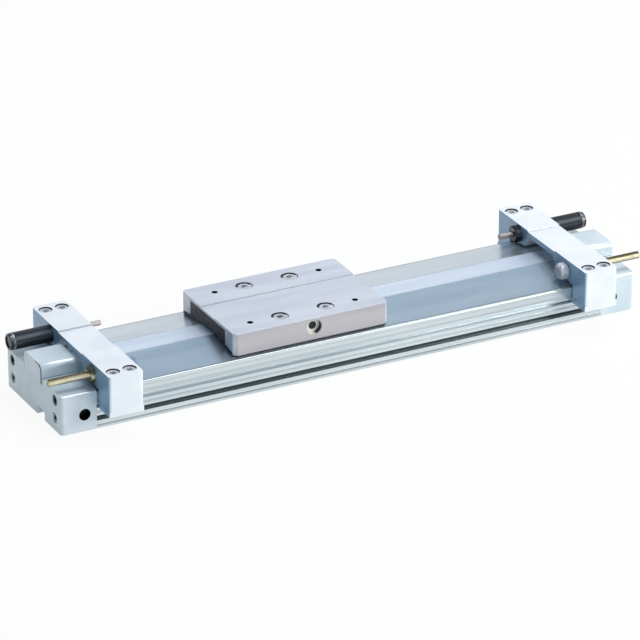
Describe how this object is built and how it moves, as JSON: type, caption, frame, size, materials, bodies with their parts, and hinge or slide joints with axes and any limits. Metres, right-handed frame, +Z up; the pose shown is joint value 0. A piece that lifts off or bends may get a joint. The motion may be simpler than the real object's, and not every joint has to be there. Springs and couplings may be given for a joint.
{
  "type": "rodless pneumatic cylinder",
  "caption": "Slotted-tube rodless air cylinder with a slide table, end covers with side ports, and portal stroke adjusters that carry shock absorbers and stop bolts.",
  "frame": {"origin": "centre of the underside, midway between the two end faces of the head covers and midway across the tube", "axes": "+X along the tube towards the right head cover, +Y across the tube away from the side with the open ports, +Z up through the slide table"},
  "size_m": [0.5215, 0.144, 0.0515],
  "materials": {
    "tube_anodised": "satin clear anodised extrusion",
    "cover_metal": "fine blasted and anodised",
    "table_metal": "brushed and anodised",
    "bridge_metal": "pale satin anodised",
    "yoke_metal": "plain machined",
    "screw_steel": "plain steel",
    "rod_steel": "ground, dark oiled",
    "black_steel": "black coated thread",
    "yellow_zinc": "yellow zinc plated",
    "black_resin": "moulded black",
    "band_resin": "smooth pale strip",
    "bearing_resin": "natural resin",
    "seal_rubber": "plain",
    "magnet": "plain"
  },
  "bodies": {
    "cylinder": {"cylinder_tube": "tube_anodised", "head_cover_left": "cover_metal", "head_cover_right": "cover_metal", "band_clamp_left": "cover_metal", "band_clamp_right": "cover_metal", "clamp_screws": "screw_steel", "head_screws": "screw_steel", "tube_gasket_left": "seal_rubber", "tube_gasket_right": "seal_rubber", "port_plugs": "screw_steel", "dust_seal_band": "band_resin", "inner_seal_band": "band_resin", "adjuster_bridge_left": "bridge_metal", "adjuster_bridge_right": "bridge_metal", "bridge_screws": "screw_steel", "clamp_bars_left": "bridge_metal", "clamp_bars_right": "bridge_metal", "shock_absorber_left": "black_steel", "shock_absorber_right": "black_steel", "bolt_lock_nuts": "yellow_zinc"},
    "carriage": {"slide_table": "table_metal", "end_cover_left": "black_resin", "end_cover_right": "black_resin", "side_scrapers": "black_resin", "roof_bearings": "bearing_resin", "band_guides": "bearing_resin", "table_screws": "screw_steel", "side_plug": "table_metal", "piston_yoke": "yoke_metal", "piston_left": "yoke_metal", "piston_right": "yoke_metal", "piston_seals": "seal_rubber", "wear_rings": "bearing_resin", "piston_pins": "screw_steel", "piston_magnet": "magnet", "band_separators": "bearing_resin"},
    "absorber_rod_left": {"absorber_rod_left": "rod_steel"},
    "absorber_rod_right": {"absorber_rod_right": "rod_steel"},
    "adjusting_bolt_left": {"adjusting_bolt_left": "yellow_zinc"},
    "adjusting_bolt_right": {"adjusting_bolt_right": "yellow_zinc"}
  },
  "joints": [
    {"name": "carriage_slide", "type": "slide", "parent": "cylinder", "child": "carriage", "axis": [1, 0, 0], "range_m": [-0.0748, 0.1465], "deforming": ["dust_seal_band", "inner_seal_band"]},
    {"name": "absorber_stroke_left", "type": "slide", "parent": "cylinder", "child": "absorber_rod_left", "axis": [-1, 0, 0], "range_m": [0, 0.012], "stiffness_N_per_m": 760, "springref_m": -0.009},
    {"name": "absorber_stroke_right", "type": "slide", "parent": "cylinder", "child": "absorber_rod_right", "axis": [1, 0, 0], "range_m": [0, 0.012], "stiffness_N_per_m": 760, "springref_m": -0.009},
    {"name": "stop_bolt_left", "type": "slide", "parent": "cylinder", "child": "adjusting_bolt_left", "axis": [1, 0, 0], "range_m": [0, 0.006]},
    {"name": "stop_bolt_right", "type": "slide", "parent": "cylinder", "child": "adjusting_bolt_right", "axis": [-1, 0, 0], "range_m": [0, 0.006]}
  ]
}
